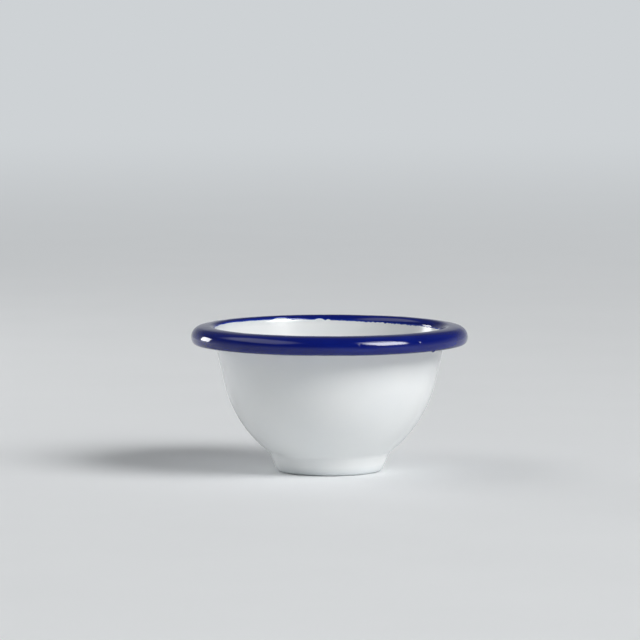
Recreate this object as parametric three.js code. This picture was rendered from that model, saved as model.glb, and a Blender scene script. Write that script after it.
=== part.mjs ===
// Enamel pinch pot: a small footed bowl pressed from one disc of sheet steel. Its edge is rolled outwards
// into a hollow bead, and fused enamel covers it, white inside and out and cobalt blue on the bead.
// Millimetres, +Z up, origin on the table at the middle of the ring that the pot stands on.
import * as THREE from "three";

const { degToRad, lerp } = THREE.MathUtils;

// Overall sizes
const RIM_DIAMETER = 80; // across the outside of the bead
const POT_HEIGHT = 42.2; // from the table to the top of the bead
const FOOT_DIAMETER = 28; // outer edge of the flat ring on the table

// Sheet and coats
const STEEL_THICKNESS = 0.7;
const ENAMEL_THICKNESS = 0.2; // each coat, with the ground coat that bonds it to the steel

// Base: a panel domed up inside the standing ring, so that only the ring meets the table
const RING_WIDTH = 2.5;
const BASE_RISE = 0.7; // at the middle of the panel
const BASE_BEND = 3; // inside radius between panel and ring

// Foot: a short flaring skirt that turns through a soft neck into the bowl
const FOOT_CORNER = 0.5; // inside radius between ring and skirt
const FOOT_LEAN = degToRad(22.7); // outwards from upright
const SKIRT_HEIGHT = 4.7; // from the table to the neck, on the outside face
const NECK_RADIUS = 3; // on the outside face

// Wall: straight and slightly leaning under the bead. One arc joins it to the neck
const WALL_LEAN = degToRad(13); // outwards from upright
const STRAIGHT_WALL = 15; // along the wall, down from the bead

// Rolled bead: a tube, round outside and flatter below. Radii are on the hollow face of the sheet
const SHOULDER_BEND = 1.25; // from the wall up to the top
const CROWN_BEND = 14.1; // over the top
const CROWN_FALL = degToRad(10); // turned along the crown
const NOSE_BEND = 2.15; // round the outermost edge
const NOSE_UNDER = degToRad(25); // turned past upright
const UNDER_BEND = 0.25; // from the nose to the underside
const UNDER_TURN = degToRad(60);
const LIP_DROP = 1.5; // from the shoulder down to the rolled-in edge, along the wall
const LIP_GAP = 0.3; // slit between that edge and the wall
const WHITE_SHOULDER = degToRad(11); // turned by the shoulder before the blue starts

// Facets
const SEGMENTS = 40; // round the axis
const STEPS = {
  panel: 2,
  base: 1,
  corner: 3,
  neck: 3,
  bowl: 7,
  shoulder: 3,
  crown: 1,
  noseAbove: 5,
  noseBelow: 2,
  under: 3,
  tuck: 3,
};

// Depths through the wall, from the glaze inside the pot, or on top of the bead, to the glaze outside
const STEEL_INNER = ENAMEL_THICKNESS;
const STEEL_OUTER = STEEL_INNER + STEEL_THICKNESS;
const WALL = STEEL_OUTER + ENAMEL_THICKNESS;

// The half section is a chain of stations on the inside glaze: a point (radius, height) and the heading of
// the sheet there, from 0 for outwards, turning to a quarter turn for up.
function along(heading) {
  return new THREE.Vector2(Math.cos(heading), Math.sin(heading));
}

// Direction through the sheet, from its inside face to its outside face.
function normal(heading) {
  return new THREE.Vector2(Math.sin(heading), -Math.cos(heading));
}

function offset(point, direction, distance) {
  return point.clone().addScaledVector(direction, distance);
}

// A bend is an arc of the inside glaze between two headings. Its radius is positive where the sheet turns up,
// round a centre inside the pot, and negative where it turns down.
function onBend({ centre, radius }, heading) {
  return { point: offset(centre, normal(heading), radius), heading };
}

// Stations along a bend after its first, which is the last one of the stretch before it.
function bendStations(bend, steps) {
  return Array.from({ length: steps }, (_, k) => onBend(bend, lerp(bend.from, bend.to, (k + 1) / steps)));
}

// Centre of a bend that carries on from a point and heading.
function bendCentre(point, heading, radius) {
  return offset(point, normal(heading), -radius);
}

// Bead, set out from its top, which is the pot's height, and its nose, which is the edge of the rim
const TOP = 0;
const EDGE = -Math.PI / 2;
const wallHeading = Math.PI / 2 - WALL_LEAN;
const crownEnd = TOP - CROWN_FALL;
const noseEnd = EDGE - NOSE_UNDER;
const underEnd = noseEnd - UNDER_TURN;
const shoulderRadius = -(SHOULDER_BEND + STEEL_OUTER);
const crownRadius = -(CROWN_BEND + STEEL_OUTER);
const noseRadius = -(NOSE_BEND + STEEL_OUTER);
const underRadius = -(UNDER_BEND + STEEL_OUTER);

const noseCentreRadius = RIM_DIAMETER / 2 + noseRadius;
const topRadius = noseCentreRadius - (crownRadius - noseRadius) * Math.sin(crownEnd);
const top = new THREE.Vector2(topRadius, POT_HEIGHT);
const shoulder = {
  centre: bendCentre(top, TOP, shoulderRadius),
  radius: shoulderRadius,
  from: wallHeading - WHITE_SHOULDER,
  to: TOP,
};
const wallTop = onBend(shoulder, wallHeading);
const blueLine = onBend(shoulder, shoulder.from);
const crown = { centre: bendCentre(top, TOP, crownRadius), radius: crownRadius, from: TOP, to: crownEnd };
const noseStart = onBend(crown, crownEnd).point;
const noseCentre = bendCentre(noseStart, crownEnd, noseRadius);
const noseAbove = { centre: noseCentre, radius: noseRadius, from: crownEnd, to: EDGE };
const noseBelow = { centre: noseCentre, radius: noseRadius, from: EDGE, to: noseEnd };
const underStart = onBend(noseBelow, noseEnd).point;
const underCentre = bendCentre(underStart, noseEnd, underRadius);
const under = { centre: underCentre, radius: underRadius, from: noseEnd, to: underEnd };

// Tuck: the arc that carries on along the underside and ends at the lip, beside the outside of the wall
const lipHeight = offset(wallTop.point, along(wallHeading), -LIP_DROP);
const lip = offset(lipHeight, normal(wallHeading), WALL + LIP_GAP);
const tuckStart = onBend(under, underEnd).point;
const toLip = lip.clone().sub(tuckStart);
const tuckRadius = -toLip.lengthSq() / (2 * toLip.dot(normal(underEnd)));
const tuckCentre = bendCentre(tuckStart, underEnd, tuckRadius);
const lipNormal = lip.clone().sub(tuckCentre).divideScalar(tuckRadius);
const lipHeading = Math.atan2(lipNormal.x, -lipNormal.y) - 2 * Math.PI;
const tuck = { centre: tuckCentre, radius: tuckRadius, from: underEnd, to: lipHeading };

// Foot: corner, skirt and neck
const footHeading = Math.PI / 2 - FOOT_LEAN;
const corner = {
  centre: new THREE.Vector2(FOOT_DIAMETER / 2, WALL + FOOT_CORNER),
  radius: FOOT_CORNER,
  from: 0,
  to: footHeading,
};
const skirtStart = onBend(corner, footHeading).point;
const skirtStartHeight = offset(skirtStart, normal(footHeading), WALL).y;
const skirtLength = (SKIRT_HEIGHT - skirtStartHeight) / Math.sin(footHeading);
const neckStart = offset(skirtStart, along(footHeading), skirtLength);
const neckRadius = -(NECK_RADIUS + WALL);
const neckCentre = bendCentre(neckStart, footHeading, neckRadius);

// Bowl: the one arc that touches the wall where its straight stretch ends and also touches the neck
const wallStart = offset(wallTop.point, along(wallHeading), -STRAIGHT_WALL);
const toNeck = neckCentre.clone().sub(wallStart);
const neckBehindWall = -toNeck.dot(normal(wallHeading));
const bowlRadius = (toNeck.lengthSq() - neckRadius ** 2) / (2 * (neckBehindWall - neckRadius));
const bowlCentre = bendCentre(wallStart, wallHeading, bowlRadius);
const bowlHeading = Math.atan2(neckCentre.x - bowlCentre.x, bowlCentre.y - neckCentre.y);
const neck = { centre: neckCentre, radius: neckRadius, from: footHeading, to: bowlHeading };
const bowl = { centre: bowlCentre, radius: bowlRadius, from: bowlHeading, to: wallHeading };

// Base: the domed panel, and the bend between it and the standing ring
const ringInner = FOOT_DIAMETER / 2 - RING_WIDTH;
const panelReach = (ringInner ** 2 + BASE_RISE ** 2) / (2 * BASE_RISE);
const panelRadius = -(panelReach - BASE_BEND);
const panelEnd = -Math.asin(ringInner / panelReach);
const panelTop = new THREE.Vector2(0, WALL + BASE_RISE);
const panel = { centre: bendCentre(panelTop, 0, panelRadius), radius: panelRadius, from: 0, to: panelEnd };
const base = {
  centre: new THREE.Vector2(ringInner, WALL + BASE_BEND),
  radius: BASE_BEND,
  from: panelEnd,
  to: 0,
};

// The chain from the axis to the top of the wall, on to the blue line, and round the bead to the lip
const toWallTop = [
  onBend(panel, 0),
  ...bendStations(panel, STEPS.panel),
  ...bendStations(base, STEPS.base),
  onBend(corner, 0),
  ...bendStations(corner, STEPS.corner),
  onBend(neck, footHeading),
  ...bendStations(neck, STEPS.neck),
  ...bendStations(bowl, STEPS.bowl),
  wallTop,
];
const toBlueLine = [...toWallTop, blueLine];
const roundBead = [
  ...bendStations(shoulder, STEPS.shoulder),
  ...bendStations(crown, STEPS.crown),
  ...bendStations(noseAbove, STEPS.noseAbove),
  ...bendStations(noseBelow, STEPS.noseBelow),
  ...bendStations(under, STEPS.under),
  ...bendStations(tuck, STEPS.tuck),
];

// One layer of the wall as a solid of revolution: the stations at two depths, joined at their ends. A layer
// that starts at the axis closes there, and a ring closes on its own first point.
function layer(name, stations, inner, outer, material) {
  const face = (depth) => stations.map(({ point, heading }) => offset(point, normal(heading), depth));
  const section = [...face(outer), ...face(inner).reverse()];
  if (section[0].x > 0) {
    section.push(section[0].clone());
  }
  const geometry = new THREE.LatheGeometry(section, SEGMENTS).rotateX(Math.PI / 2);
  const mesh = new THREE.Mesh(geometry, material);
  mesh.name = name;
  return mesh;
}

const sheetSteel = new THREE.MeshStandardMaterial({ color: "#6d7176", roughness: 0.45, metalness: 1 });
const whiteInside = new THREE.MeshStandardMaterial({ color: "#eceef1", roughness: 0.12, metalness: 0 });
const whiteOutside = new THREE.MeshStandardMaterial({ color: "#e6ebee", roughness: 0.12, metalness: 0 });
const cobaltBlue = new THREE.MeshStandardMaterial({ color: "#0a1460", roughness: 0.1, metalness: 0 });

const pot = new THREE.Group();
pot.add(layer("steel_bowl", [...toBlueLine, ...roundBead], STEEL_INNER, STEEL_OUTER, sheetSteel));
pot.add(layer("white_inside_enamel", toBlueLine, 0, STEEL_INNER, whiteInside));
pot.add(layer("white_outside_enamel", toWallTop, STEEL_OUTER, WALL, whiteOutside));
pot.add(layer("blue_rim_enamel", [blueLine, ...roundBead], 0, STEEL_INNER, cobaltBlue));

export default pot;
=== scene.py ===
# %% [markdown]
# # An enamel pinch pot in Blender
# A pinch pot is a small bowl for salt or spices. This one is pressed from one disc of thin sheet steel,
# its edge is rolled outwards into a hollow bead, and glass is melted on in thin coats: white over the
# whole bowl, then cobalt blue over the bead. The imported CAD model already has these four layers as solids
# with flat facets. The lesson rebuilds each layer as a smooth surface, in metres and in the same place,
# and gives it its finish.

import bpy
import numpy as np
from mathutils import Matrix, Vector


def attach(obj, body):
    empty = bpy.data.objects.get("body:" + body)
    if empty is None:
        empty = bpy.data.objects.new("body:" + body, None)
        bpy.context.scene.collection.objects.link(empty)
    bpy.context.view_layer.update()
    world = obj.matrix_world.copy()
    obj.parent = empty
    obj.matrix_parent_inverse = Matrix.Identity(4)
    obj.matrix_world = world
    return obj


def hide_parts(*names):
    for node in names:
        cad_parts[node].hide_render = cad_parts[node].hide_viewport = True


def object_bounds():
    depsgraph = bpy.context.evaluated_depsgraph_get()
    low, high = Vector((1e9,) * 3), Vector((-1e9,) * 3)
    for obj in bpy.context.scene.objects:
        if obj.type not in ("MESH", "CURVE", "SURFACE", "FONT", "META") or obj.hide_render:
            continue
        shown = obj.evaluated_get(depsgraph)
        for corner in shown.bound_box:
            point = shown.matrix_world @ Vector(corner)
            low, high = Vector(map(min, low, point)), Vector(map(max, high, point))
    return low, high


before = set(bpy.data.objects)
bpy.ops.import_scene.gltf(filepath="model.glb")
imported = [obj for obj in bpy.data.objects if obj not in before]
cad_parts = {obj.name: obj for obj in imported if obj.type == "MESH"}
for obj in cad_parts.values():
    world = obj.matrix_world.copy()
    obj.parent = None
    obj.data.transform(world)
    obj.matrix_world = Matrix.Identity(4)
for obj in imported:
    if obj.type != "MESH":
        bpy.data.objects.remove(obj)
CAD_LOW, CAD_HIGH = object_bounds()
MM = 0.001
print("CAD nodes:", ", ".join(sorted(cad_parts)))
print("CAD box in mm:", [round((high - low) / MM, 2) for low, high in zip(CAD_LOW, CAD_HIGH)])

# %% [markdown]
# ## The half section
# Sheet metal bends in arcs and runs straight between them, so half a slice through the pot is a chain of
# arcs and straight lines. A curve drawn by hand would need many control points and would still wobble in
# the reflections. A chain needs only the radii and lengths that a toolmaker would write down. Rim and
# height come from the CAD box, and the other sizes are the ones that the CAD source is driven by.

# %% Sizes of the sheet, the coats and the bends
RIM_RADIUS = CAD_HIGH.x  # outermost edge of the bead
POT_HEIGHT = CAD_HIGH.z
FOOT_RADIUS = 14 * MM  # outer edge of the flat ring on the table
STEEL = 0.7 * MM
ENAMEL = 0.2 * MM  # each coat
WALL = STEEL + 2 * ENAMEL
RING_WIDTH = 2.5 * MM
BASE_RISE = 0.7 * MM  # middle of the base above the ring
BASE_BEND = 3 * MM
FOOT_CORNER = 0.5 * MM  # inside radius
FOOT_LEAN = np.radians(22.7)
SKIRT_HEIGHT = 4.7 * MM  # outside, from the table to the neck
NECK_RADIUS = 3 * MM  # outside
WALL_LEAN = np.radians(13)
STRAIGHT_WALL = 15 * MM
# The bead's radii: inside the hollow as it is rolled, plus steel and coat, so that they hold on the glaze
SHOULDER = 1.25 * MM + ENAMEL + STEEL
CROWN = 14.1 * MM + ENAMEL + STEEL
NOSE = 2.15 * MM + ENAMEL + STEEL
UNDER = 0.25 * MM + ENAMEL + STEEL
CROWN_FALL = np.radians(10)
NOSE_UNDER = np.radians(25)  # turned past upright
UNDER_TURN = np.radians(60)
LIP_DROP = 1.5 * MM  # from the shoulder down to the rolled-in edge
LIP_GAP = 0.3 * MM  # between that edge and the wall
print(f"rim {2 * RIM_RADIUS / MM:.1f} mm, height {POT_HEIGHT / MM:.1f} mm, wall {WALL / MM:.1f} mm")


# %% Corner points of the chain
def along(heading):
    """Unit step in the half section: 0 goes outwards from the axis and a quarter turn goes up."""
    return np.array([np.cos(heading), np.sin(heading)])


def through(heading):
    """Unit step through the wall, from the glaze inside the pot to the glaze outside."""
    return np.array([np.sin(heading), -np.cos(heading)])


wall_heading = np.pi / 2 - WALL_LEAN
foot_heading = np.pi / 2 - FOOT_LEAN
nose_heading = -np.pi / 2 - NOSE_UNDER
under_heading = nose_heading - UNDER_TURN

top = np.array([RIM_RADIUS - NOSE - (CROWN - NOSE) * np.sin(CROWN_FALL), POT_HEIGHT])
wall_top = top + (through(0) - through(wall_heading)) * SHOULDER
wall_start = wall_top - along(wall_heading) * STRAIGHT_WALL
nose_start = top + (through(0) - through(-CROWN_FALL)) * CROWN
nose_end = nose_start + (through(-CROWN_FALL) - through(nose_heading)) * NOSE
under_end = nose_end + (through(nose_heading) - through(under_heading)) * UNDER
lip = wall_top - along(wall_heading) * LIP_DROP + through(wall_heading) * (WALL + LIP_GAP)

skirt_start = np.array([FOOT_RADIUS, WALL + FOOT_CORNER]) + through(foot_heading) * FOOT_CORNER
skirt_low = skirt_start + through(foot_heading) * WALL
skirt = (SKIRT_HEIGHT - skirt_low[1]) / np.sin(foot_heading)
neck = NECK_RADIUS + WALL
neck_centre = skirt_start + along(foot_heading) * skirt + through(foot_heading) * neck
print(f"top of the bead at radius {top[0] / MM:.2f} mm; rolled-in edge at {np.round(lip / MM, 2)} mm")

# %% [markdown]
# Three arcs are not free. The bowl must leave the neck and reach the straight wall without a kink, the
# base must rise by a set amount, and the last arc of the bead must end just beside the wall. Each could
# be adjusted by eye. Here each follows from where it touches its neighbours, so the sizes can change and
# the chain stays smooth.

# %% Arcs that follow from their neighbours
to_neck = neck_centre - wall_start
bowl = (to_neck @ to_neck - neck**2) / (2 * (neck - to_neck @ through(wall_heading)))
bowl_centre = wall_start - through(wall_heading) * bowl
bowl_heading = np.arctan2(neck_centre[0] - bowl_centre[0], bowl_centre[1] - neck_centre[1])

ring_inner = FOOT_RADIUS - RING_WIDTH
base_reach = (ring_inner**2 + BASE_RISE**2) / (2 * BASE_RISE)
base_fall = np.arcsin(ring_inner / base_reach)

to_lip = lip - under_end
tuck = to_lip @ to_lip / (2 * to_lip @ through(under_heading))
tuck_turn = 2 * np.arctan2(to_lip @ through(under_heading), to_lip @ along(under_heading))
print(f"radius of the bowl {bowl / MM:.2f} mm, of the tuck under the bead {tuck / MM:.2f} mm")

# %% The chain
# Length and turn of each stretch on the inside glaze, from the axis to the rolled-in edge
CHAIN = np.array([
    ((base_reach - BASE_BEND) * base_fall, -base_fall),  # base panel
    (BASE_BEND * base_fall, base_fall),  # bend between panel and ring
    (RING_WIDTH, 0),  # standing ring
    (FOOT_CORNER * foot_heading, foot_heading),  # corner of the foot
    (skirt, 0),  # skirt of the foot
    (neck * (foot_heading - bowl_heading), bowl_heading - foot_heading),  # neck
    (bowl * (wall_heading - bowl_heading), wall_heading - bowl_heading),  # bowl
    (STRAIGHT_WALL, 0),  # wall
    (SHOULDER * wall_heading, -wall_heading),  # shoulder of the bead
    (CROWN * CROWN_FALL, -CROWN_FALL),  # crown
    (NOSE * (np.pi / 2 - CROWN_FALL + NOSE_UNDER), CROWN_FALL - np.pi / 2 - NOSE_UNDER),  # nose
    (UNDER * UNDER_TURN, -UNDER_TURN),  # tight bend below the nose
    (tuck * tuck_turn, -tuck_turn),  # tuck under the bead
])
LENGTHS, TURNS = CHAIN.T
ENDS = np.cumsum(LENGTHS)
STARTS = ENDS - LENGTHS
HEADINGS = np.cumsum(TURNS) - TURNS
CURVES = TURNS / LENGTHS
CHORDS = LENGTHS * np.sinc(TURNS / 2 / np.pi) * along(HEADINGS + TURNS / 2)
CORNERS = np.cumsum(CHORDS, axis=1) - CHORDS + np.array([[0], [WALL + BASE_RISE]])
# Where wall, shoulder, crown, tight bend and tuck end
S_SHOULDER, S_TOP, S_NOSE, S_LOWEST, S_LIP = ENDS[[7, 8, 9, 11, 12]]
miss = np.linalg.norm(CORNERS[:, -1] + CHORDS[:, -1] - lip)
print(f"chain {S_LIP / MM:.1f} mm long, ends {miss / MM:.4f} mm from the rolled-in edge")


# %% Points on any layer
def heading_at(s):
    """Heading of the chain at distance s: steady on a straight stretch, in proportion to s on an arc."""
    return np.interp(s, [0, *ENDS], [0, *np.cumsum(TURNS)])


def section(s, depth):
    """Radius and height at distance s along the chain and at a depth through the wall. On a stretch with
    curvature k, the chord from its start to a point t further on is t sinc(k t / 2) long, and turned by
    k t / 2."""
    stretch = np.clip(np.searchsorted(ENDS, s), 0, len(ENDS) - 1)
    t = s - STARTS[stretch]
    half_turn = CURVES[stretch] * t / 2
    chord = t * np.sinc(half_turn / np.pi) * along(HEADINGS[stretch] + half_turn)
    return CORNERS[:, stretch] + chord + depth * through(heading_at(s))


FINE_STEPS = 6000  # in which the chain is measured


def stations(start, end, turn, stride):
    """Distances along the chain, closer where it bends: one for about each turn, in degrees, and stride."""
    fine = np.linspace(start, end, FINE_STEPS)
    count = np.cumsum(np.abs(np.diff(heading_at(fine))) / np.radians(turn) + np.diff(fine) / stride)
    return np.interp(np.linspace(0, count[-1], int(count[-1]) + 2), [0, *count], fine)


print("stations from axis to lip, at 4 degrees and 1.5 mm:", len(stations(0, S_LIP, 4, 1.5 * MM)))

# %% [markdown]
# ## From a section to a closed skin
# A layer is a thin solid of revolution. The Screw modifier could spin a profile, but then a coat could
# not vary round the pot. Here every layer is a grid: rows along the section, columns round the axis, with
# radius and height as whole arrays. The rows run out along one face and come back along the other, so the
# skin is closed.

# %% Mesh from grids of radius and height
ON_AXIS = 0.001 * MM  # a row with smaller radii is one point


def pot_layer(name, radius, height, angle, **attributes):
    """Object from grids of radius and height: x = radius sin(angle), y = -radius cos(angle). Rows that start
    on the axis close there in one point at each end, and other rows close on themselves. Attributes go on
    the points. The volume is the sum of a . (b x c) / 6 over the triangles, positive if faces point out."""
    rows, columns = radius.shape
    points = np.stack([radius * np.sin(angle), -radius * np.cos(angle), height], axis=-1).reshape(-1, 3)
    index = np.arange(rows * columns).reshape(rows, columns)
    caps = np.empty((0, 3), int)
    here, there = index, np.roll(index, -1, axis=0)
    if radius[0].max() < ON_AXIS:
        here, there = index[1:-2], index[2:-1]
        first, last = index[1], index[-2]
        below = np.stack([np.full(columns, index[0, 0]), np.roll(first, -1), first], axis=-1)
        above = np.stack([np.full(columns, index[-1, 0]), last, np.roll(last, -1)], axis=-1)
        caps = np.concatenate([below, above])
    quads = np.stack([here, np.roll(here, -1, 1), np.roll(there, -1, 1), there], axis=-1).reshape(-1, 4)
    used, corners = np.unique(np.concatenate([quads.ravel(), caps.ravel()]), return_inverse=True)
    sides = np.repeat([4, 3], [len(quads), len(caps)])

    mesh = bpy.data.meshes.new(name)
    mesh.vertices.add(len(used))
    mesh.vertices.foreach_set("co", points[used].ravel())
    mesh.loops.add(len(corners))
    mesh.loops.foreach_set("vertex_index", corners)
    mesh.polygons.add(len(sides))
    mesh.polygons.foreach_set("loop_start", np.cumsum(sides) - sides)
    mesh.update(calc_edges=True)
    mesh.shade_smooth()
    for label, values in attributes.items():
        stored = mesh.attributes.new(label, "FLOAT", "POINT")
        stored.data.foreach_set("value", np.broadcast_to(values, radius.shape).reshape(-1)[used])
    piece = bpy.data.objects.new(name, mesh)
    bpy.context.collection.objects.link(piece)

    triangles = np.concatenate([quads[:, :3], quads[:, [0, 2, 3]], caps])
    a, b, c = points[triangles].transpose(1, 0, 2)
    volume = np.einsum("ij,ij->", a, np.cross(b, c)) / 6
    print(f"{name}: {len(used)} points, {len(triangles)} triangles, {volume / MM**3:.0f} cubic mm")
    return piece


# %% [markdown]
# ## The sheet
# The steel carries the pot, yet almost none of it shows: the glass covers it, except on the inside of the
# hollow bead, behind a slit 0.3 mm wide. A Solidify modifier could thicken one face. Two faces at set
# depths, one coat of glass below the glazes, are as short to write and meet the coats exactly.

# %% Sheet steel bowl
def round_about(columns):
    """Angles of the columns of a grid: 0 faces the camera and a quarter turn is on its right."""
    return np.arange(columns) * (2 * np.pi / columns)


def rows_along(start, end, turn, stride, columns):
    """Grid of distances along the chain: the stations from row to row, the same in every column."""
    return np.tile(stations(start, end, turn, stride)[:, None], columns)


def two_faces(s_front, front, s_back, back):
    """Rows of a closed layer: out along one face, at depths back, and home along the other, at front."""
    radius_back, height_back = section(s_back, back)
    radius_front, height_front = section(s_front[::-1], front[::-1])
    return np.concatenate([radius_back, radius_front]), np.concatenate([height_back, height_front])


BOWL_COLUMNS = 240
bowl_angle = round_about(BOWL_COLUMNS)
s_steel = rows_along(0, S_LIP, 6, 2 * MM, BOWL_COLUMNS)
steel_inner = np.full(s_steel.shape, ENAMEL)
steel_faces = two_faces(s_steel, steel_inner, s_steel, steel_inner + STEEL)
sheet = pot_layer("sheet_steel_bowl", *steel_faces, bowl_angle)
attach(sheet, "root")
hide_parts("steel_bowl")

# %% [markdown]
# ## White glass inside and out
# Enamel goes on as a slurry, dries to powder and melts in the furnace. Surface tension pulls it level,
# but not quite: it draws back from outer edges, pools in hollows and keeps slow waves that show only in
# reflections. The waves go into the mesh. How sharply the face bends goes into an attribute, which the
# material uses for thin and full glass. Noise on a texture could do the same, but it would not know where
# the edges are.

# %% Slow waves of a fired glaze
WAVE = 0.014 * MM
WAVE_LENGTH = 22 * MM
WAVE_COUNT = 16
CALM_RADIUS = 12 * MM  # nearer the axis than this, the waves fade
CALM_HEIGHT = 3 * MM  # so they do nearer the table than this, outside
BEND_REACH = 0.8 * MM


def glaze_waves(s, angle, wavelength, seed):
    """Unevenness of about -1 to 1: a sum of sine waves with random directions over the surface. Round the
    axis each makes a whole number of waves, so that the surface meets itself."""
    random = np.random.default_rng(seed)
    round_axis = np.round(random.normal(0, np.pi * RIM_RADIUS / wavelength, WAVE_COUNT))[:, None, None]
    up_wall = random.normal(0, np.pi / wavelength, WAVE_COUNT)[:, None, None]
    phase = random.uniform(0, 2 * np.pi, WAVE_COUNT)[:, None, None]
    return np.sin(round_axis * angle + up_wall * s + phase).sum(axis=0) / np.sqrt(WAVE_COUNT)


def bend_near(s, depth):
    """Mean curvature of a face within the reach either side of s: turn divided by length at that depth."""
    turn = heading_at(s + BEND_REACH) - heading_at(s - BEND_REACH)
    return turn / (2 * BEND_REACH + turn * depth)


def ease(x):
    """Smooth step from 0 to 1 as x goes from 0 to 1: 3 x^2 - 2 x^3."""
    x = np.clip(x, 0, 1)
    return x * x * (3 - 2 * x)


print(f"glaze waves about {WAVE / MM:.3f} mm high and {WAVE_LENGTH / MM:.0f} mm long")

# %% White enamel inside
WHITE_END = 1.0 * MM  # the white runs on under the blue, to this far from the top of the bead
WHITE_SINK = 0.1 * MM  # and dips there, to make room for it
SINK_START = 1.5 * MM
SINK_RUN = 0.4 * MM

s_in = rows_along(0, S_TOP - WHITE_END, 4, 1.4 * MM, BOWL_COLUMNS)
s_in_back = rows_along(0, S_TOP - WHITE_END, 10, 3 * MM, BOWL_COLUMNS)
from_axis = ease(section(s_in, 0)[0] / CALM_RADIUS)
sunk = WHITE_SINK * ease((s_in - (S_TOP - SINK_START)) / SINK_RUN)
glaze_in = sunk + WAVE * from_axis * glaze_waves(s_in, bowl_angle, WAVE_LENGTH, seed=3)
coat_in = two_faces(s_in, glaze_in, s_in_back, np.full(s_in_back.shape, ENAMEL))
hollow_in = np.concatenate([np.zeros(s_in_back.shape), bend_near(s_in, 0)[::-1]]) * MM
inside = pot_layer("white_enamel_inside", *coat_in, bowl_angle, hollow=hollow_in, scuff=0.0)
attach(inside, "root")
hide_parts("white_inside_enamel")

# %% White enamel outside
SCUFF_HEIGHT = 0.25 * MM  # the table rubs what lies lower than this
SCUFF_FADE = 0.2 * MM
SCUFF_RADIUS = 10.8 * MM  # and further out
SCUFF_RUN = 0.8 * MM

s_out = rows_along(0, S_SHOULDER, 3, 1.4 * MM, BOWL_COLUMNS)
s_out_back = rows_along(0, S_SHOULDER, 10, 3 * MM, BOWL_COLUMNS)
radius_out, height_out = section(s_out, WALL)
off_ring = ease(radius_out / CALM_RADIUS) * ease(height_out / CALM_HEIGHT)
glaze_out = WALL + WAVE * off_ring * glaze_waves(s_out, bowl_angle, WAVE_LENGTH, seed=5)
coat_out = two_faces(s_out_back, np.full(s_out_back.shape, ENAMEL + STEEL), s_out, glaze_out)
hollow_out = np.concatenate([-bend_near(s_out, WALL), np.zeros(s_out_back.shape)]) * MM
on_ring = ease((SCUFF_HEIGHT - height_out) / SCUFF_FADE) * ease((radius_out - SCUFF_RADIUS) / SCUFF_RUN)
scuff_out = np.concatenate([on_ring, np.zeros(s_out_back.shape)])
outside = pot_layer("white_enamel_outside", *coat_out, bowl_angle, hollow=hollow_out, scuff=scuff_out)
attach(outside, "root")
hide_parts("white_outside_enamel")

# %% [markdown]
# ## The cobalt rim
# The rim is dipped or brushed after the white has been fired, so the blue lies on the white and ends in a
# line that is never quite straight. On this pot the line is high on the left, low on the right, nicked
# twice at the back and finely torn on the right. A torn line painted in the material would stay flat.
# Here it is the edge of the mesh, rounded as melted glass is, and about the thickness of a hair above the
# white.

# %% Line where the blue ends
LINE_MEAN = 2.57  # mm from the top of the bead down to the line
LINE_TILT = 0.53  # mm, once round
LINE_SWAY = 0.28  # mm, twice round
NICKS = (  # depth in mm, direction and half width in degrees
    (0.55, 205.5, 4.6),
    (0.4, 185, 2),
    (0.3, 180.5, 1),
    (0.35, 318, 4),
    (0.3, 31, 2),
)
TEARS = (  # height in mm, direction and half width in degrees
    (0.055, 133, 36),
    (0.03, 20, 30),
)
TORN = 0.015  # mm, all round
WANDER = 0.04  # mm, in longer waves
TEETH_COUNT = 40


def bump(angle, middle, half_width):
    """Flat-topped bump of height 1 round an angle in degrees: exp(-x^4), with x in half widths from it."""
    x = np.angle(np.exp(1j * (angle - np.radians(middle)))) / np.radians(half_width)
    return np.exp(-(x**4))


def teeth(angle, coarsest, finest, seed):
    """Fine tearing of about -1 to 1: a sum of cosines with random phases and whole waves round a turn."""
    random = np.random.default_rng(seed)
    waves = random.integers(coarsest, finest, TEETH_COUNT)[:, None]
    phase = random.uniform(0, 2 * np.pi, TEETH_COUNT)[:, None]
    return np.cos(waves * angle + phase).sum(axis=0) / np.sqrt(TEETH_COUNT)


RIM_COLUMNS = 960
rim_angle = round_about(RIM_COLUMNS)
tilt = LINE_TILT * np.cos(rim_angle - np.radians(100))
sway = LINE_SWAY * np.cos(2 * rim_angle + np.radians(84))
nicked = sum(depth * bump(rim_angle, middle, half) for depth, middle, half in NICKS)
torn = TORN + sum(height * bump(rim_angle, middle, half) for height, middle, half in TEARS)
ragged = torn * teeth(rim_angle, coarsest=50, finest=200, seed=11)
ragged += WANDER * teeth(rim_angle, coarsest=8, finest=40, seed=12)
line = (LINE_MEAN + tilt + sway - nicked + ragged) * MM
print(f"blue line {line.min() / MM:.2f} to {line.max() / MM:.2f} mm from the top of the bead")

# %% Glaze of the cobalt enamel
PROUD = 0.055 * MM  # blue over white
EDGE_ROUND = 0.22 * MM
EDGE_SINK = 0.03 * MM  # the very edge melts into the white
RIDGE = 0.02 * MM  # bead of glass along the edge
RIDGE_PLACE = 0.4 * MM
RIDGE_WIDTH = 0.3 * MM
BLUE_START = 0.4 * MM  # short of the top of the bead; from there on the rows are alike all round
WHITE_BELOW = 0.5 * MM  # from here inwards the blue has white below it
WHITE_FADE = 0.8 * MM
BAND_ROWS = 13  # between the line and that place
CROWDING = 1.6  # above 1, rows lie closer towards the line

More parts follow.
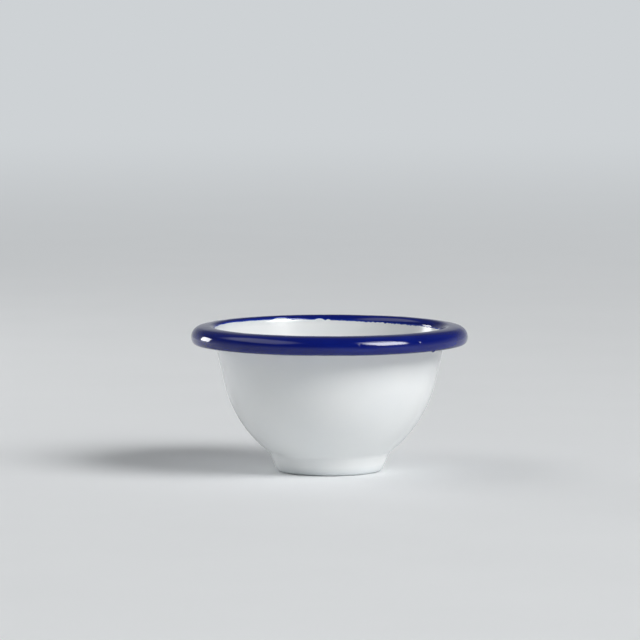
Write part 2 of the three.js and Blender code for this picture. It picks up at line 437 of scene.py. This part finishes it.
spread = np.linspace(0, 1, BAND_ROWS, endpoint=False)[:, None] ** CROWDING
s_edge = S_TOP - line
s_band = s_edge + spread * (S_TOP - BLUE_START - s_edge)
s_blue = np.concatenate([s_band, rows_along(S_TOP - BLUE_START, S_LIP, 4.5, 1.5 * MM, RIM_COLUMNS)])
from_edge = s_blue - s_edge
full = np.sqrt(1 - (1 - np.clip(from_edge / EDGE_ROUND, 0, 1)) ** 2)
over_white = ease((S_TOP - WHITE_BELOW - s_blue) / WHITE_FADE)
ridge = RIDGE * np.exp(-(((from_edge - RIDGE_PLACE) / RIDGE_WIDTH) ** 2))
uneven = 0.02 * MM * glaze_waves(s_blue, rim_angle, wavelength=16 * MM, seed=21)
uneven += 0.005 * MM * glaze_waves(s_blue, rim_angle, wavelength=5 * MM, seed=22)
glaze_blue = EDGE_SINK * (1 - full) - full * (PROUD * over_white + ridge) + ease(from_edge / MM) * uneven
print(f"blue glaze up to {-glaze_blue.min() / MM:.3f} mm above the plain section")


# %% Runs and pits that the furnace left in the blue
def spot(degrees, s, width):
    """Round bump of height 1 on the bead: exp(-d^2), d being the distance along the surface in widths."""
    x = np.angle(np.exp(1j * (rim_angle - np.radians(degrees)))) * RIM_RADIUS / width
    return np.exp(-(x**2) - ((s_blue - s) / width) ** 2)


SAG_WIDTH = 1.6 * MM
S_SHINE = S_NOSE + NOSE * np.radians(62)  # where the near side of the bead mirrors the large lamp
PITS = (  # direction in degrees, and mm below that line
    (12.7, 0.15),
    (14.1, 0.25),
    (15.5, 0.4),
    (16.9, 0.5),
    (18.4, 0.6),
)

# Heights in mm. A spot has its direction in degrees, its place along the section and its width
hanging = 0.03 + 0.02 * teeth(rim_angle, coarsest=3, finest=14, seed=31)
sag = hanging * np.exp(-(((s_blue - S_LOWEST) / SAG_WIDTH) ** 2))
drip = 0.28 * spot(49, S_LOWEST - 0.2 * MM, 0.6 * MM)
pits = 0.07 * sum(spot(degrees, S_SHINE + below * MM, 0.4 * MM) for degrees, below in PITS)
pimple = 0.12 * spot(40.6, S_SHINE - 0.1 * MM, 0.4 * MM)
glaze_blue += (pits - pimple - drip - sag) * MM
print(f"sag of the blue {sag.min():.3f} to {sag.max():.3f} mm, drip {drip.max():.2f} mm")

# %% Cobalt enamel on the bead
BLUE_ROOT = 0.06 * MM  # where it lies on white, the blue starts this deep in it
THIN_EDGE = 0.6 * MM  # the blue is thinner, so lighter, this close to the line

s_band_back = s_edge + spread[::4] * (S_TOP - BLUE_START - s_edge)
s_bead_back = rows_along(S_TOP - BLUE_START, S_LIP, 15, 4 * MM, RIM_COLUMNS)
s_blue_back = np.concatenate([s_band_back, s_bead_back])
blue_back = np.where(s_blue_back < S_TOP - WHITE_END, BLUE_ROOT, ENAMEL)
coat_blue = two_faces(s_blue, glaze_blue, s_blue_back, blue_back)
thick = np.concatenate([np.ones(s_blue_back.shape), ease(from_edge / THIN_EDGE)[::-1]])
rim = pot_layer("cobalt_enamel_rim", *coat_blue, rim_angle, thick=thick)
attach(rim, "root")
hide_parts("blue_rim_enamel")

# %% [markdown]
# ## Finishes
# All three finishes are built from one base shader each. A photograph wrapped round the pot would bring
# its own light with it, so colour, roughness and relief come from noise at real sizes, read in Object
# coordinates, and from the attributes that the meshes carry. Colours are written as on a screen and made
# linear by one function.

# %% Helpers for colours and nodes
MIX_A, MIX_B, MIXED = 6, 7, 2  # colour sockets of a Mix node, whose names repeat for other kinds of data


def linear(code):
    """Linear colour from an sRGB hex code: a straight line near black and a power of 2.4 above."""
    channel = np.array([int(code[k : k + 2], 16) for k in (1, 3, 5)]) / 255
    value = np.where(channel <= 0.04045, channel / 12.92, ((channel + 0.055) / 1.055) ** 2.4)
    return (*value.tolist(), 1.0)


def add(tree, kind, inputs=None, **settings):
    """Adds a node. Settings are its own options. Inputs give each socket a value or the output to link."""
    made = tree.nodes.new("ShaderNode" + kind)
    for option, value in settings.items():
        setattr(made, option, value)
    for socket, value in (inputs or {}).items():
        if isinstance(value, bpy.types.NodeSocket):
            tree.links.new(value, made.inputs[socket])
        else:
            made.inputs[socket].default_value = value
    return made


def new_finish(name):
    """Empty material with its output node, and the Object coordinates that its patterns read."""
    finish = bpy.data.materials.new(name)
    finish.use_nodes = True
    tree = finish.node_tree
    tree.nodes.clear()
    output = add(tree, "OutputMaterial")
    return finish, tree, output, add(tree, "TexCoord").outputs["Object"]


print(f"#808080 is {linear('#808080')[0]:.3f} in linear light")

# %% [markdown]
# ### White vitreous enamel
# White enamel is glass made opaque with titanium oxide: a clean, faintly cool white under a clear gloss.
# The eye reads it as glass on metal by its slightly lumpy reflections, by a greyer tone where the coat is
# thin over an edge, and by a few pinholes where gas left the steel. A clear coat over a dull white could
# give the gloss, but one smooth shader looks the same and has fewer values to match.

# %% White vitreous enamel
def white_enamel():
    """Opaque glass: IOR 1.5, low roughness with a faint haze, orange peel of 4 mm, sparse pinholes."""
    finish, tree, output, place = new_finish("white vitreous enamel")
    hollow = add(tree, "Attribute", attribute_name="hollow").outputs["Fac"]
    scuff = add(tree, "Attribute", attribute_name="scuff").outputs["Fac"]

    # Body colour, greyer over sharp outer edges and rubbed on the standing ring
    cloud = add(tree, "TexNoise", {"Vector": place, "Scale": 1 / (14 * MM), "Detail": 2.0}).outputs["Fac"]
    body = add(tree, "Mix", {"Factor": cloud, MIX_A: linear("#E8EBEC"), MIX_B: linear("#EFF0EF")},
               data_type="RGBA")
    thin = add(tree, "MapRange", {"Value": hollow, "From Min": -0.05, "From Max": -0.6, "To Max": 0.55})
    edged = add(tree, "Mix", {"Factor": thin.outputs[0], MIX_A: body.outputs[MIXED],
                              MIX_B: linear("#B9C3C9")}, data_type="RGBA")
    grit = add(tree, "TexNoise", {"Vector": place, "Scale": 1 / (0.6 * MM), "Detail": 3.0})
    worn = add(tree, "Math", {0: scuff, 1: grit.outputs["Fac"]}, operation="MULTIPLY")
    rubbed = add(tree, "Mix", {"Factor": worn.outputs[0], MIX_A: edged.outputs[MIXED],
                               MIX_B: linear("#8E9396")}, data_type="RGBA")

    # Pinholes about 0.3 mm across, in a few of the cells of 7 mm
    cells = add(tree, "TexVoronoi", {"Vector": place, "Scale": 1 / (7 * MM)})
    pinhole = add(tree, "MapRange", {"Value": cells.outputs["Distance"], "From Min": 0.012,
                                     "From Max": 0.03, "To Min": 1.0, "To Max": 0.0})
    rare = add(tree, "Math", {0: cells.outputs["Color"], 1: 0.8}, operation="GREATER_THAN")
    dot = add(tree, "Math", {0: pinhole.outputs[0], 1: rare.outputs[0]}, operation="MULTIPLY")
    colour = add(tree, "Mix", {"Factor": dot.outputs[0], MIX_A: rubbed.outputs[MIXED],
                               MIX_B: linear("#5F6468")}, data_type="RGBA")

    # Gloss with a faint haze, dull where it is rubbed
    haze = add(tree, "TexNoise", {"Vector": place, "Scale": 1 / (9 * MM), "Detail": 4.0})
    gloss = add(tree, "MapRange", {"Value": haze.outputs["Fac"], "From Min": 0.35, "From Max": 0.7,
                                   "To Min": 0.14, "To Max": 0.22})
    rough = add(tree, "Math", {0: worn.outputs[0], 1: 0.5, 2: gloss.outputs[0]}, operation="MULTIPLY_ADD")

    # Orange peel, and the pinholes as dents
    peel = add(tree, "TexNoise", {"Vector": place, "Scale": 1 / (4 * MM), "Detail": 1.5}).outputs["Fac"]
    relief = add(tree, "Math", {0: dot.outputs[0], 1: -2.0, 2: peel}, operation="MULTIPLY_ADD")
    skin = add(tree, "Bump", {"Strength": 0.3, "Distance": 0.02 * MM, "Height": relief.outputs[0]})
    glass = add(tree, "BsdfPrincipled", {"Base Color": colour.outputs[MIXED], "Roughness": rough.outputs[0],
                                         "IOR": 1.5, "Normal": skin.outputs[0]})
    tree.links.new(glass.outputs[0], output.inputs[0])
    return finish


white = white_enamel()
inside.data.materials.append(white)
outside.data.materials.append(white)
print(white.name, "has", len(white.node_tree.nodes), "nodes")

# %% [markdown]
# ### Cobalt enamel
# Cobalt colours glass so strongly that a coat of 0.2 mm looks almost black where it lies thick and deep
# blue where it thins towards its edge. It is glossier than the white, and long faint streaks follow the
# way the rim was turned. Light absorbed in a volume would be nearer to real glass, but in so thin a coat
# it is slow and noisy to render. A colour ramp read by thickness gives the same look.

# %% Cobalt enamel
def cobalt_enamel():
    """Deep blue glass: colour by thickness, IOR 1.5, roughness near 0.05, ripples of 2 mm, long streaks."""
    finish, tree, output, place = new_finish("cobalt enamel")

    # Colour by thickness, which long streaks vary
    thickness = add(tree, "Attribute", attribute_name="thick").outputs["Fac"]
    drawn = add(tree, "VectorMath", {0: place, 1: (0.15, 0.15, 1.0)}, operation="MULTIPLY")
    streak = add(tree, "TexNoise", {"Vector": drawn.outputs[0], "Scale": 1 / (1.5 * MM), "Detail": 3.0})
    pull = add(tree, "MapRange", {"Value": streak.outputs["Fac"], "From Min": 0.3, "From Max": 0.7,
                                  "To Min": -0.15, "To Max": 0.1})
    depth = add(tree, "Math", {0: thickness, 1: pull.outputs[0]}, operation="ADD", use_clamp=True)
    colour = add(tree, "ValToRGB", {"Fac": depth.outputs[0]})
    ramp = colour.color_ramp
    ramp.elements[0].color = linear("#143FA8")
    ramp.elements[1].color = linear("#01126A")
    middle = ramp.elements.new(0.45)
    middle.color = linear("#0A2688")

    # Gloss with a faint haze, and ripples
    haze = add(tree, "TexNoise", {"Vector": place, "Scale": 1 / (8 * MM), "Detail": 4.0})
    gloss = add(tree, "MapRange", {"Value": haze.outputs["Fac"], "From Min": 0.35, "From Max": 0.7,
                                   "To Min": 0.03, "To Max": 0.07})
    ripple = add(tree, "TexNoise", {"Vector": place, "Scale": 1 / (2 * MM), "Detail": 2.0})
    skin = add(tree, "Bump", {"Strength": 0.4, "Distance": 0.012 * MM, "Height": ripple.outputs["Fac"]})
    glass = add(tree, "BsdfPrincipled", {"Base Color": colour.outputs["Color"],
                                         "Roughness": gloss.outputs[0],
                                         "IOR": 1.5, "Normal": skin.outputs[0]})
    tree.links.new(glass.outputs[0], output.inputs[0])
    return finish


cobalt = cobalt_enamel()
rim.data.materials.append(cobalt)
print(cobalt.name, "has", len(cobalt.node_tree.nodes), "nodes")

# %% [markdown]
# ### Pickled sheet steel
# Before enamelling, the pressing is cleaned in acid, which leaves the steel a dull mottled grey. Inside
# the bead it keeps that skin, with a film of dark ground coat. Etching could be modelled as relief, but
# behind so narrow a slit two greys mixed by noise are enough.

# %% Pickled sheet steel
def pickled_steel():
    """Dull metal: roughness about 0.5, mottled grey at 3 mm."""
    finish, tree, output, place = new_finish("pickled sheet steel")
    mottle = add(tree, "TexNoise", {"Vector": place, "Scale": 1 / (3 * MM), "Detail": 5.0}).outputs["Fac"]
    colour = add(tree, "Mix", {"Factor": mottle, MIX_A: linear("#4A4E52"), MIX_B: linear("#7C8084")},
                 data_type="RGBA")
    rough = add(tree, "MapRange", {"Value": mottle, "To Min": 0.4, "To Max": 0.6})
    metal = add(tree, "BsdfPrincipled", {"Base Color": colour.outputs[MIXED], "Roughness": rough.outputs[0],
                                         "Metallic": 1.0})
    tree.links.new(metal.outputs[0], output.inputs[0])
    return finish


steel = pickled_steel()
sheet.data.materials.append(steel)
print(steel.name, "has", len(steel.node_tree.nodes), "nodes")

# %% [markdown]
# ## Floor, light and camera
# The pot stands in a plain pale studio. A studio would hang a sweep of paper behind it, which looks right
# from one side only. Here the floor is one wide disc that turns to an even pale grey far from the pot, so
# that every view has the same backdrop. It is open under the foot and clear from below, so that the base
# can be seen.

# %% Pale floor
FLOOR_RADIUS = 12.0
FLOOR_ROWS, FLOOR_COLUMNS = 40, 96

floor_angle = round_about(FLOOR_COLUMNS)
reach = np.geomspace(FOOT_RADIUS, FLOOR_RADIUS, FLOOR_ROWS)[:, None]
level = np.zeros((FLOOR_ROWS, FLOOR_COLUMNS))
disc = np.stack([reach * np.sin(floor_angle), -reach * np.cos(floor_angle), level], axis=-1)
cell = np.arange(FLOOR_ROWS * FLOOR_COLUMNS).reshape(FLOOR_ROWS, FLOOR_COLUMNS)
panes = np.stack([cell[:-1], cell[1:], np.roll(cell[1:], -1, 1), np.roll(cell[:-1], -1, 1)], axis=-1)
floor_mesh = bpy.data.meshes.new("studio_floor")
floor_mesh.from_pydata(disc.reshape(-1, 3).tolist(), [], panes.reshape(-1, 4).tolist())
floor = bpy.data.objects.new("studio_floor", floor_mesh)
bpy.context.collection.objects.link(floor)
print("floor normal", [round(x, 2) for x in floor_mesh.polygons[0].normal])


# %% Floor finish
def studio_floor():
    """Matt pale paint with a faint mottle. From 0.3 m to 1.8 m away it fades, for camera and mirror rays,
    to an even glow, which lights nothing."""
    finish, tree, output, place = new_finish("pale studio floor")
    mottle = add(tree, "TexNoise", {"Vector": place, "Scale": 1 / (60 * MM), "Detail": 3.0}).outputs["Fac"]
    colour = add(tree, "Mix", {"Factor": mottle, MIX_A: linear("#E9EBEC"), MIX_B: linear("#EDEFF0")},
                 data_type="RGBA")
    paint = add(tree, "BsdfPrincipled", {"Base Color": colour.outputs[MIXED], "Roughness": 0.7,
                                         "Specular IOR Level": 0.2})
    far = add(tree, "VectorMath", {0: place}, operation="LENGTH")
    fade = add(tree, "MapRange", {"Value": far.outputs["Value"], "From Min": 0.3, "From Max": 1.8},
               interpolation_type="SMOOTHSTEP")
    path = add(tree, "LightPath").outputs
    direct = add(tree, "Math", {0: path["Is Camera Ray"], 1: path["Is Glossy Ray"]}, operation="MAXIMUM")
    seen = add(tree, "Math", {0: direct.outputs[0], 1: path["Is Transmission Ray"]}, operation="MAXIMUM")
    share = add(tree, "Math", {0: seen.outputs[0], 1: fade.outputs[0]}, operation="MULTIPLY")
    glow = add(tree, "Emission", {"Color": linear("#CED2D5"), "Strength": 1.0})
    lit = add(tree, "MixShader", {0: share.outputs[0], 1: paint.outputs[0], 2: glow.outputs[0]})
    clear = add(tree, "BsdfTransparent")
    from_below = add(tree, "NewGeometry").outputs["Backfacing"]
    sided = add(tree, "MixShader", {0: from_below, 1: lit.outputs[0], 2: clear.outputs[0]})
    tree.links.new(sided.outputs[0], output.inputs[0])
    return finish


floor_paint = studio_floor()
floor.data.materials.append(floor_paint)
print(floor_paint.name, "has", len(floor_paint.node_tree.nodes), "nodes")

# %% [markdown]
# A gloss like this shows every lamp, so the lamps are placed by their mirror images on the bead. One
# large softbox on the right, in front of the pot and above it, shapes the wall and lays the long
# highlight on the bead. A stronger one would make that highlight broad and bright enough, but would turn
# the white wall to plain white. A card beside it does so instead, because it shows in reflections only. A
# small softbox close behind on the left makes the glint at the bead's left end, and a wide, weak one high
# on the left lights the inside. Plain area lamps would show hard edges in the glaze, so these fade
# towards their edges. The room is a dim grey that pales towards the horizon, as above a pale floor, so
# that the cobalt stays deep.

# %% Lamps
scene = bpy.context.scene
scene.view_settings.view_transform = "Standard"


def softbox(name, azimuth, elevation, distance, wide, tall, radiance, soft, gloss_only=False):
    """Rectangular lamp that faces the pot. Wide and tall are angles as seen from the pot, and the power is
    pi times area times radiance. With x and y from 0 to 1 across the lamp, it reaches full light where
    x (1 - x) y (1 - y) is soft, and falls smoothly to nothing at its edge, where that product is 0. One
    that is gloss_only shows in reflections and lights nothing else."""
    lamp = bpy.data.lights.new(name, "AREA")
    lamp.shape = "RECTANGLE"
    lamp.size = 2 * distance * np.tan(np.radians(wide / 2))
    lamp.size_y = 2 * distance * np.tan(np.radians(tall / 2))
    lamp.energy = np.pi * lamp.size * lamp.size_y * radiance
    lamp.use_nodes = True
    tree = lamp.node_tree
    across_lamp = add(tree, "NewGeometry").outputs["Parametric"]
    rest = add(tree, "VectorMath", {0: (1, 1, 1), 1: across_lamp}, operation="SUBTRACT")
    hump = add(tree, "VectorMath", {0: across_lamp, 1: rest.outputs[0]}, operation="MULTIPLY")
    sides = add(tree, "SeparateXYZ", {0: hump.outputs[0]})
    product = add(tree, "Math", {0: sides.outputs["X"], 1: sides.outputs["Y"]}, operation="MULTIPLY")
    fade = add(tree, "MapRange", {"Value": product.outputs[0], "From Max": soft},
               interpolation_type="SMOOTHSTEP")
    tree.links.new(fade.outputs[0], tree.nodes["Emission"].inputs["Strength"])
    box = bpy.data.objects.new(name, lamp)
    turn, rise = np.radians(azimuth), np.radians(elevation)
    box.location = (
        distance * np.sin(turn) * np.cos(rise),
        -distance * np.cos(turn) * np.cos(rise),
        distance * np.sin(rise) + POT_HEIGHT / 2,
    )
    box.rotation_euler = (np.pi / 2 - rise, 0, turn)
    box.visible_camera = False
    box.visible_diffuse = not gloss_only
    bpy.context.collection.objects.link(box)
    print(f"{name}: {lamp.size:.2f} x {lamp.size_y:.2f} m, {lamp.energy:.1f} W")


softbox("key_softbox", azimuth=53.5, elevation=38, distance=4.0, wide=41, tall=33, radiance=10.2, soft=0.04)
softbox("shine_card", azimuth=57, elevation=42, distance=4.0, wide=32, tall=47, radiance=5.5, soft=0.02,
        gloss_only=True)
softbox("back_softbox", azimuth=-124, elevation=10, distance=0.7, wide=17, tall=19, radiance=8.5,
        soft=0.015)
softbox("fill_softbox", azimuth=-85, elevation=52, distance=4.0, wide=72, tall=40, radiance=1.3, soft=0.05)

# %% Room
PALE_UP_TO = 0.4  # sine of the height above the horizon where the grey is as dim as overhead

room = bpy.data.worlds.new("dim_studio")
room.use_nodes = True
scene.world = room
sky = room.node_tree
aim = add(sky, "SeparateXYZ", {0: add(sky, "TexCoord").outputs["Generated"]})
dimmed = add(sky, "MapRange", {"Value": aim.outputs["Z"], "From Max": PALE_UP_TO},
             interpolation_type="SMOOTHSTEP")
tone = add(sky, "Mix", {"Factor": dimmed.outputs[0], MIX_A: linear("#B2B5B7"), MIX_B: linear("#5A5C5E")},
           data_type="RGBA")
sky.links.new(tone.outputs[MIXED], sky.nodes["Background"].inputs["Color"])
print(room.name, "has", len(sky.nodes), "nodes")

# %% [markdown]
# The photograph was taken from low down and far away through a long lens: the rim is a thin ellipse, and
# its near and far halves are almost equally wide. The camera could be matched by eye over a background
# image. Width and place of the rim in the picture give the lens and where it points directly.

# %% Camera
PHOTO_SIDE = 640  # pixels
RIM_MIDDLE = np.array([329.5, 334.2])  # where the axis passes the bead, in pixels from the top left
BEAD_HEIGHT = 39.6 * MM  # that point above the table
PIXELS_PER_M = 3461.5  # at that point
DISTANCE = 1.6
ELEVATION = np.radians(5.22)

camera = bpy.data.cameras.new("camera")
focal = PIXELS_PER_M * DISTANCE  # in pixels
camera.lens = focal / PHOTO_SIDE * camera.sensor_width
across, down = (RIM_MIDDLE - PHOTO_SIDE / 2) / focal
pitch = ELEVATION - np.arctan(down)
ahead = np.array([0, np.cos(pitch), -np.sin(pitch)])
upwards = np.array([0, np.sin(pitch), np.cos(pitch)])
ray = ahead + across * np.array([1, 0, 0]) - down * upwards
eye = np.array([0, 0, BEAD_HEIGHT]) - DISTANCE * ray / np.linalg.norm(ray)
viewer = bpy.data.objects.new("camera", camera)
viewer.location = eye
viewer.rotation_euler = (np.pi / 2 - pitch, 0, 0)
camera.clip_end = 40  # m, past the far edge of the floor
bpy.context.collection.objects.link(viewer)
scene.camera = viewer
print(f"lens {camera.lens:.0f} mm, camera at {np.round(eye, 3)} m")
